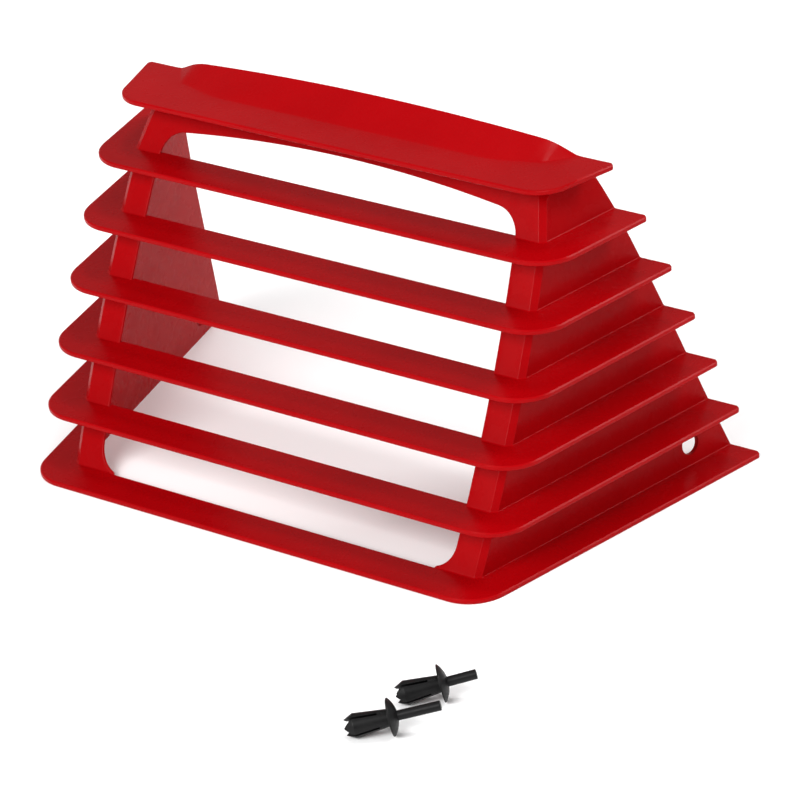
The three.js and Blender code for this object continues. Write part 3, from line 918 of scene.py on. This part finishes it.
class BuildStage(bpy.types.Operator):
    """Adds the floor, the lights and the camera"""
    bl_idname = "cowl_vent.build_stage"
    bl_label = "Build stage"

    def execute(self, context):
        settings = context.scene.stage_settings
        angle = np.linspace(0, 2 * math.pi, 96, endpoint=False)
        rim = np.stack([np.cos(angle), np.sin(angle), np.zeros_like(angle)], -1) * settings.floor_radius
        floor = new_object("floor", rim, [list(range(96))], scale=1.0)
        floor.data.materials.append(plain_floor(settings))
        world = bpy.data.worlds.new("soft_surround")
        world.use_nodes = True
        sky = world.node_tree.nodes["Background"]
        sky.inputs["Color"].default_value = (1.0, 1.0, 1.0, 1.0)
        # Seen directly, the surround is plain white
        nodes, links = world.node_tree.nodes, world.node_tree.links
        seen = nodes.new("ShaderNodeLightPath").outputs["Is Camera Ray"]
        links.new(spread(nodes, links, seen, settings.world_strength, 1.0, 0.0, 1.0), sky.inputs["Strength"])
        context.scene.world = world
        context.scene.view_settings.view_transform = "Standard"
        add_light("key", (-0.1, -1.55, 1.12), 1.3, 1.1, settings.key_power)
        add_light("side", (1.6, 0.0, 0.6), 0.35, 1.1, settings.side_power)
        add_light("back", (1.15, 0.95, 1.3), 0.6, 0.6, settings.back_power)
        add_light("top", (0.0, 0.33, 1.95), 0.38, 0.38, settings.top_power)
        add_camera()
        return {"FINISHED"}


LIGHT_TARGET = (0.0, 0.03, 0.05)


def aimed(obj, target):
    obj.rotation_euler = (Vector(target) - obj.location).to_track_quat("-Z", "Y").to_euler()


def add_light(name, location, width, height, power):
    data = bpy.data.lights.new(name, "AREA")
    data.shape = "RECTANGLE"
    data.size, data.size_y = width, height
    data.energy = power
    lamp = bpy.data.objects.new(name, data)
    bpy.context.scene.collection.objects.link(lamp)
    lamp.location = location
    aimed(lamp, LIGHT_TARGET)


def add_camera():
    """A long lens, looking down by 28 degrees from 37 degrees to the right of the front, rolled a little."""
    azimuth, elevation, roll = math.radians(37.3288), math.radians(27.9822), math.radians(-4.8223)
    back = Vector((math.sin(azimuth) * math.cos(elevation), -math.cos(azimuth) * math.cos(elevation),
                   math.sin(elevation)))
    right = Vector((math.cos(azimuth), math.sin(azimuth), 0.0))
    up = back.cross(right)
    turned_right = right * math.cos(roll) + up * math.sin(roll)
    turned_up = up * math.cos(roll) - right * math.sin(roll)
    data = bpy.data.cameras.new("camera")
    data.sensor_width = 36.0
    data.lens = 187.26
    data.clip_start, data.clip_end = 0.05, 100.0
    camera = bpy.data.objects.new("camera", data)
    bpy.context.scene.collection.objects.link(camera)
    turn = Matrix((turned_right, turned_up, back)).transposed().to_4x4()
    camera.matrix_world = Matrix.Translation((0.78005, -0.93869, 0.69376)) @ turn
    bpy.context.scene.camera = camera


class CowlVentPanel(bpy.types.Panel):
    """Sizes, colours and the build steps"""
    bl_idname = "VIEW3D_PT_cowl_vent"
    bl_label = "Cowl Vent"
    bl_space_type = "VIEW_3D"
    bl_region_type = "UI"
    bl_category = "Cowl Vent"

    def draw(self, context):
        for name, operator in (("vent_settings", BuildVent), ("rivet_settings", BuildRivets),
                               ("stage_settings", BuildStage)):
            column_box = self.layout.box()
            group = getattr(context.scene, name)
            for key in group.__annotations__:
                column_box.prop(group, key)
            column_box.operator(operator.bl_idname)


CLASSES = (VentSettings, RivetSettings, StageSettings, BuildVent, BuildRivets, BuildStage, CowlVentPanel)
GROUPS = {"vent_settings": VentSettings, "rivet_settings": RivetSettings, "stage_settings": StageSettings}


def register():
    for cls in CLASSES:
        bpy.utils.register_class(cls)
    for name, group in GROUPS.items():
        setattr(bpy.types.Scene, name, bpy.props.PointerProperty(type=group))


def unregister():
    for name in GROUPS:
        delattr(bpy.types.Scene, name)
    for cls in reversed(CLASSES):
        bpy.utils.unregister_class(cls)


def main():
    register()
    bpy.ops.cowl_vent.build_stage()
    bpy.ops.cowl_vent.build_vent()
    bpy.ops.cowl_vent.build_rivets()
    bpy.context.view_layer.update()


if __name__ == "__main__":
    main()
